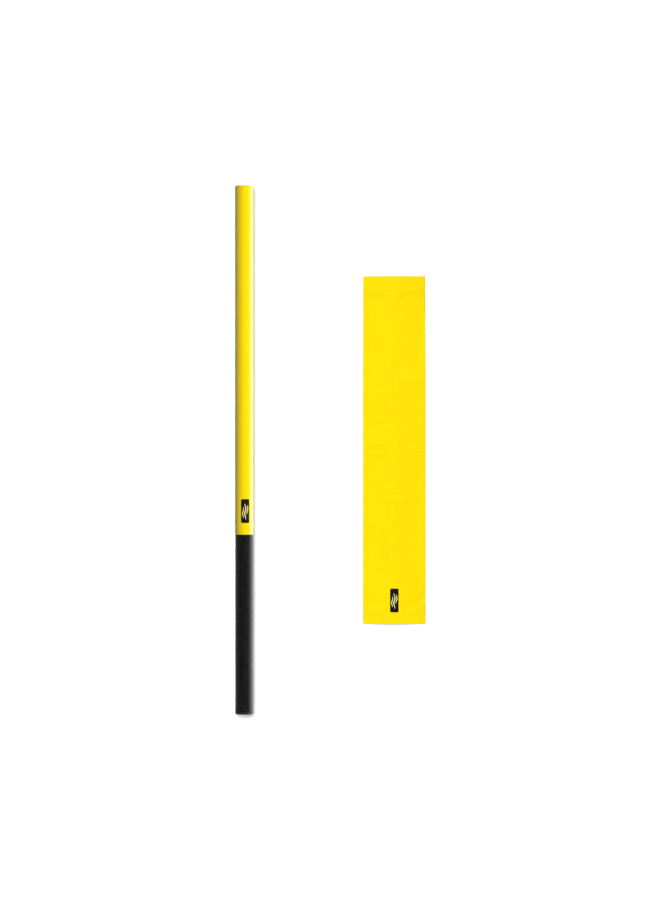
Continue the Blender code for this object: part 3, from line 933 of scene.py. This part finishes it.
def settled_top():
    """The upper cloth as a grid of points, eased by a short cloth simulation."""
    rng = np.random.default_rng(5)
    wobble = [
        (rng.uniform(20, 90), rng.uniform(20, 90), rng.uniform(0, math.tau)) for _ in range(14)
    ]
    skin, start, loose = [], [], []
    for y in ROWS:
        reach = half_width_at(y) - FOLD
        inside = smooth(y, TAIL_END, TAIL_END + 0.03)
        inside *= 1 - smooth(y, HEM_START - 0.03, HEM_START)
        for i in range(TOP_COLUMNS + 1):
            x = reach * (2 * i / TOP_COLUMNS - 1)
            ripple = sum(math.sin(x * a + y * b + c) for a, b, c in wobble) / len(wobble)
            free = (1 - (x / reach) ** 2) * inside
            z = arch_z(x, y) - CLOTH / 2
            skin.append((SOCK_X + x, y, z))
            start.append((SOCK_X + x, y, z + (RIPPLE * ripple - START_LOW) * free))
            loose.append(1 - label_hold(SOCK_X + x, y))
    shape = (len(ROWS), TOP_COLUMNS + 1, 3)
    skin = np.array(skin).reshape(shape)
    start = np.array(start).reshape(shape)
    loose = np.array(loose).reshape(shape[:2] + (1,))
    shift = simulate(start) - skin
    size = np.linalg.norm(shift, axis=2, keepdims=True)
    points = skin + shift * loose * np.minimum(1.0, MOST_MOVE / np.maximum(size, 1e-9))
    points[:, :, 2] = np.maximum(points[:, :, 2], LOWEST_TOP)
    return points


def simulate(points):
    """Let the grid settle with a little ease and air under it; its rim is pinned."""
    row_count, column_count = points.shape[:2]
    mesh = bpy.data.meshes.new("settling")
    index = np.arange(row_count * column_count).reshape(row_count, column_count)
    faces = np.stack(
        [index[:-1, :-1], index[:-1, 1:], index[1:, 1:], index[1:, :-1]], axis=-1
    ).reshape(-1, 4)
    mesh.from_pydata(points.reshape(-1, 3).tolist(), [], faces.tolist())
    item = bpy.data.objects.new("settling", mesh)
    bpy.context.scene.collection.objects.link(item)
    pins = item.vertex_groups.new(name="pins")
    for r, y in enumerate(ROWS):
        held = 1 - smooth(y, TAIL_END - 0.001, TAIL_END + 0.003)
        held = max(held, smooth(y, HEM_START - 0.003, HEM_START + 0.001))
        for c in range(column_count):
            side = 1.0 if c in (0, column_count - 1) else 0.0
            pins.add([int(index[r, c])], max(held, side), "REPLACE")
    cloth = item.modifiers.new("cloth", "CLOTH")
    settings = cloth.settings
    settings.quality = 6
    settings.mass = 0.02
    settings.tension_stiffness = settings.compression_stiffness = 12
    settings.shear_stiffness = 4
    settings.bending_stiffness = 0.06
    settings.vertex_group_mass = "pins"
    settings.shrink_min = settings.shrink_max = -EASE
    settings.effector_weights.gravity = 0.0     # the air inside carries the cloth
    cloth.collision_settings.use_collision = False
    cloth.collision_settings.use_self_collision = False
    cloth.point_cache.frame_start = 1
    cloth.point_cache.frame_end = SETTLE_FRAMES
    scene = bpy.context.scene
    for number in range(1, SETTLE_FRAMES + 1):
        scene.frame_set(number)
    graph = bpy.context.evaluated_depsgraph_get()
    result = item.evaluated_get(graph).data
    moved = np.zeros(len(result.vertices) * 3, np.float32)
    result.vertices.foreach_get("co", moved)
    bpy.data.objects.remove(item)
    scene.frame_set(1)
    return moved.reshape(points.shape).astype(float)


STITCH_PITCH = 0.0034
MOUTH_STITCHES = (HEM_START + 0.0016, HEM_START + 0.0048)
TAIL_STITCHES = (TAIL_END - 0.0018,)


def sewn(x, y):
    """How far the sewing pulls the cloth down, with a pucker at every stitch."""
    pull = 0.0
    for line in MOUTH_STITCHES + TAIL_STITCHES:
        near = math.exp(-(((y - line) / 0.0013) ** 2))
        wide = math.exp(-(((y - line) / 0.0060) ** 2))
        pull += 0.00028 * near + 0.00016 * wide * math.sin(x * math.tau / STITCH_PITCH / 2.6)
    ridge = smooth(y, HEM_START - 0.0012, HEM_START + 0.0002)
    ridge += 1 - smooth(y, TAIL_END - 0.0002, TAIL_END + 0.0012)
    return pull - 0.00025 * ridge


def build_cloth():
    """One cut of cloth sewn into a tube, with both ends turned in and hemmed."""
    top = settled_top()
    rows = []
    for r, y in enumerate(ROWS):
        rows.append(outer_loop(top[r], y))
    inner_mouth = turned_in(top, mouth=True)
    inner_tail = turned_in(top, mouth=False)
    loops = list(reversed(inner_tail)) + rows + inner_mouth
    bm = bmesh.new()
    rings = [[bm.verts.new(point) for point in loop] for loop in loops]
    for here, there in zip(rings, rings[1:]):
        count = len(here)
        for i in range(count):
            j = (i + 1) % count
            bm.faces.new((here[i], here[j], there[j], there[i]))
    cloth = shaped("windsock_cloth", bm, "sock_cloth", sharp=80)
    finer = cloth.modifiers.new("finer", "SUBSURF")
    finer.levels = finer.render_levels = 1
    baked(cloth)
    cloth.data.shade_smooth()
    settle(cloth, "windsock", "sock_cloth", "sock_sleeve", "mouth_hem", "tail_hem")
    return cloth


def outer_loop(top_row, y):
    """Closed outline of the cloth at y: the settled top, two folds and the flat bottom."""
    reach = half_width_at(y) - FOLD
    loop = []
    for x, along, z in top_row:
        across = x - SOCK_X
        free = 1 - (across / reach) ** 2
        loop.append((x, along, z - sewn(across, y) * min(1.0, 4 * free)))
    loop.append((SOCK_X + reach + FOLD, y, (loop[-1][2] + CLOTH / 2) / 2))
    for i in range(BOTTOM_COLUMNS + 1):
        x = reach * (1 - 2 * i / BOTTOM_COLUMNS)
        loop.append((SOCK_X + x, y, CLOTH / 2 + 0.00005))
    loop.append((SOCK_X - reach - FOLD, y, (loop[0][2] + CLOTH / 2) / 2))
    return loop


def turned_in(top, mouth):
    """Loops of the hem's inner layer, from the edge inwards, round a soft fold."""
    gap = LAYER_GAP if mouth else TAIL_GAP
    edge = MOUTH_Y if mouth else TAIL_Y
    depth = MOUTH_HEM if mouth else TAIL_HEM
    into = -1 if mouth else 1
    row = top[-1] if mouth else top[0]
    steps = [(0.35, -0.0000), (0.75, 0.0003), (1.0, 0.0010)]
    steps += [(1.0, 0.0010 + (depth - 0.0010) * i / 10) for i in range(1, 11)]
    loops = []
    for share, back in steps:
        y = edge + into * back
        base = outer_loop([(x, y, arch_z(x - SOCK_X, y) - CLOTH / 2) for x, _, _ in row], y)
        middle_loop = []
        count = len(base)
        for i, (x, _, z) in enumerate(base):
            across = x - SOCK_X
            roof = arch_z(across * 0.999, y) - CLOTH / 2
            floor = CLOTH / 2
            middle = (roof + floor) / 2
            is_top = i <= TOP_COLUMNS
            if is_top:
                z = max(z - gap * share, middle + 0.00008)
            elif i in (TOP_COLUMNS + 1, count - 1):
                x -= math.copysign(0.0008 * share, across)
            else:
                z = min(z + gap * share, max(middle - 0.00008, z))
            middle_loop.append((x, y, z))
        loops.append(middle_loop)
    return loops


def surface_of(item):
    """Height of a piece's upper side as a function of (x, y)."""
    tree = BVHTree.FromObject(item, bpy.context.evaluated_depsgraph_get())

    def height(x, y):
        hit = tree.ray_cast(Vector((x, y, 0.2)), Vector((0.0, 0.0, -1.0)))[0]
        return hit.z if hit else 0.0

    return height


# ------------------------------------------------------------------ windsock: sewing
def stitch(bm, start, end, height):
    """One stitch: a short round thread that dips into the cloth at both ends."""
    sides, steps, radius = 6, 6, 0.00016
    rings = []
    for k in range(steps + 1):
        t = k / steps
        x = start[0] + (end[0] - start[0]) * t
        y = start[1] + (end[1] - start[1]) * t
        lift = 0.00022 * math.sin(math.pi * t) - 0.00012
        z = height(x, y) + lift
        thin = radius * (0.55 + 0.45 * math.sin(math.pi * t))
        rings.append([
            bm.verts.new((x, y + thin * math.cos(a), z + thin * math.sin(a)))
            for a in (math.tau * i / sides for i in range(sides))
        ])
    for here, there in zip(rings, rings[1:]):
        for i in range(sides):
            j = (i + 1) % sides
            bm.faces.new((here[i], here[j], there[j], there[i]))
    bm.faces.new(rings[0])
    bm.faces.new(rings[-1])


def build_stitching(cloth):
    height = surface_of(cloth)
    for name, lines in (("mouth_stitching", MOUTH_STITCHES), ("tail_stitching", TAIL_STITCHES)):
        bm = bmesh.new()
        for line in lines:
            reach = half_width_at(line) - 0.0035
            count = int(2 * reach / STITCH_PITCH)
            for i in range(count):
                x = SOCK_X + STITCH_PITCH * (i - count / 2 + 0.12)
                stitch(bm, (x, line), (x + STITCH_PITCH * 0.76, line), height)
        settle(shaped(name, bm, "thread", sharp=80), "windsock", "sock_cloth")


def build_sock_badge(cloth):
    height = surface_of(cloth)

    def on_cloth(u, v, lift):
        x, y = SOCK_X + u, LABEL_Y + v
        return (x, y, height(x, y) + 0.00004 + lift)

    label("sock_badge", on_cloth, "windsock", "sock_label")


def build_tabs():
    """Webbing tabs with metal eyelets, and the tape over the inside seam."""
    for number in (1, 2, 3):
        node = f"bridle_tab_{number}"
        low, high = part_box(node)
        centre = (low + high) / 2
        half = (high - low) / 2
        soft = 0.0010
        cuts = [-half.x, -half.x + soft * 0.3, -half.x + soft]
        cuts += [half.x * i / 6 for i in range(-4, 5)]
        cuts += [-x for x in reversed(cuts[:3])]
        strips = []
        for u in cuts:
            short = soft * max(0.0, (abs(u) - half.x + soft) / soft) ** 2
            strips.append(((u, -half.y + short), (u, half.y - short)))

        def place(u, v, lift, centre=centre, low=low):
            return (centre.x + u, centre.y + v, low.z + 0.00005 + lift)

        tab = film(f"webbing_tab_{number}", "webbing", strips, place, 0.0007, across=18)
        eyelet_y = centre.y + half.y / 2
        hole = shaped("hole_cutter", spun(
            [(0, -0.01), (TAB_HOLE_RADIUS, -0.01), (TAB_HOLE_RADIUS, 0.01), (0, 0.01)], 32,
            lambda a, r, z, c=centre, e=eyelet_y: (c.x + r * math.cos(a), e + r * math.sin(a), c.z + z),
        ), "steel")
        boolean(tab, hole)
        settle(tab, "windsock", "webbing", node)
        rim = [
            (TAB_HOLE_RADIUS - 0.0002, -0.0006, 0.0003), (TAB_HOLE_RADIUS + 0.0014, -0.0006, 0.0003),
            (TAB_HOLE_RADIUS + 0.0014, 0.0006, 0.0004), (TAB_HOLE_RADIUS - 0.0002, 0.0006, 0.0004),
        ]
        eyelet = shaped(f"eyelet_{number}", spun(
            filleted(rim), 40,
            lambda a, r, z, c=centre, e=eyelet_y: (c.x + r * math.cos(a), e + r * math.sin(a), c.z + z),
        ), "steel")
        settle(eyelet, "windsock", "steel")

    low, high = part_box("seam_tape")
    rows = [low.y + (high.y - low.y) * i / 60 for i in range(61)]
    tape = film(
        "inside_seam_tape", "tape", [((low.x, y), (high.x, y)) for y in rows],
        lambda u, v, lift: (u, v, low.z + lift + 0.00006 * math.sin(v * 400.0)), 0.0004, across=8,
    )
    settle(tape, "windsock", "sock_cloth", "seam_tape")


def build_windsock():
    cloth = build_cloth()
    build_stitching(cloth)
    build_sock_badge(cloth)
    build_tabs()
    return cloth


# ------------------------------------------------------------------ stage, light, camera
LENS = 150.0
SENSOR = 36.0
VIEW_HEIGHT = 1.960         # metres of ground from the picture's top to its bottom
VIEW_PLANE = 0.015


def build_stage():
    bm = bmesh.new()
    bmesh.ops.create_grid(bm, x_segments=8, y_segments=8, size=30.0)
    for vert in bm.verts:
        vert.co.z = -0.0002
    mesh = bpy.data.meshes.new("floor")
    bm.to_mesh(mesh)
    bm.free()
    floor_look = Look("pale_floor", 0.9, Specular_IOR_Level=0.1)
    floor_look.colour(floor_look.noise(3.0, 2.0), (0.885, 0.885, 0.885), (0.90, 0.90, 0.90))
    LOOKS["floor"] = floor_look.material
    floor = link("floor", mesh, "floor")
    # the world's lower half and the lamp under the floor stand for the light it throws back
    floor.visible_diffuse = floor.visible_glossy = floor.visible_shadow = False
    floor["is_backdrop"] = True
    return floor


def sun(name, direction, strength, width, lights=None, glossy=True, diffuse=True):
    """A soft lamp at a great distance; direction points from the object to the lamp.

    It lights only the objects in lights, or everything if that is None.
    """
    data = bpy.data.lights.new(name, "SUN")
    data.energy = strength
    data.angle = math.radians(width)
    lamp = bpy.data.objects.new(name, data)
    lamp.rotation_mode = "QUATERNION"
    lamp.rotation_quaternion = Vector(direction).to_track_quat("Z", "Y")
    lamp.visible_glossy = glossy
    lamp.visible_diffuse = diffuse
    if lights is not None:
        lit = bpy.data.collections.new(f"lit_by_{name}")
        for item in lights:
            lit.objects.link(item)
        lamp.light_linking.receiver_collection = lit
    bpy.context.scene.collection.objects.link(lamp)


def build_light():
    """The sock and the ground have a soft lamp overhead, and the pole one from the right.

    A strip low on the right shows in gloss alone.
    """
    on_pole, on_ground = [], [floor]
    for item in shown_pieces():
        (on_ground if body_of(item) == ["windsock"] else on_pole).append(item)
    sun("overhead", (-0.09, 0.17, 1.0), 3.95, 34.0, on_ground, glossy=False)
    sun("side", (0.49, 0.02, 1.0), 4.2, 24.0, on_pole, glossy=False)
    sun("strip", (1.0, 0.0, -0.42), 3.9, 74.0, on_pole, diffuse=False)
    sun("bounce", (0.0, 0.0, -1.0), 1.2, 30.0, glossy=False)

    world = bpy.data.worlds.new("studio")
    world.use_nodes = True
    tree = world.node_tree
    coords = tree.nodes.new("ShaderNodeTexCoord")
    split = tree.nodes.new("ShaderNodeSeparateXYZ")
    height = tree.nodes.new("ShaderNodeMapRange")
    height.inputs["From Min"].default_value = -1.0
    ramp = tree.nodes.new("ShaderNodeValToRGB")
    path = tree.nodes.new("ShaderNodeLightPath")
    choose = tree.nodes.new("ShaderNodeMixRGB")
    choose.inputs["Color2"].default_value = (0.10, 0.10, 0.10, 1.0)
    tree.links.new(coords.outputs["Generated"], split.inputs[0])
    tree.links.new(split.outputs["Z"], height.inputs["Value"])
    tree.links.new(height.outputs[0], ramp.inputs[0])
    tree.links.new(ramp.outputs[0], choose.inputs["Color1"])
    tree.links.new(path.outputs["Is Diffuse Ray"], choose.inputs["Fac"])
    dim = tree.nodes.new("ShaderNodeMixRGB")
    dim.blend_type = "MULTIPLY"
    dim.inputs["Color2"].default_value = (0.75, 0.75, 0.75, 1.0)
    tree.links.new(choose.outputs[0], dim.inputs["Color1"])
    tree.links.new(path.outputs["Is Glossy Ray"], dim.inputs["Fac"])
    tree.links.new(dim.outputs[0], tree.nodes["Background"].inputs["Color"])
    steps = ramp.color_ramp.elements
    steps[0].position, steps[0].color = 0.0, (1.0, 1.0, 1.0, 1.0)
    steps[1].position, steps[1].color = 1.0, (0.01, 0.01, 0.01, 1.0)
    for place, level in ((0.50, 0.90), (0.58, 0.70), (0.80, 0.04)):
        steps.new(place).color = (level, level, level, 1.0)
    bpy.context.scene.world = world
    bpy.context.scene.view_settings.view_transform = "Standard"


def build_camera():
    data = bpy.data.cameras.new("camera")
    data.lens = LENS
    data.sensor_width = SENSOR
    data.clip_end = 60.0
    camera = bpy.data.objects.new("camera", data)
    low, high = CAD_BOX
    distance = VIEW_HEIGHT / 2 / math.tan(math.atan(SENSOR / 2 / LENS))
    camera.location = ((low.x + high.x) / 2 - 0.0010, (low.y + high.y) / 2, VIEW_PLANE + distance)
    bpy.context.scene.collection.objects.link(camera)
    bpy.context.scene.camera = camera


# ------------------------------------------------------------------ the whole scene
build_camera()
build_base()
build_butt()
build_sections()
build_tip()
finish_cad_nodes()
sock = build_windsock()
floor = build_stage()
build_light()
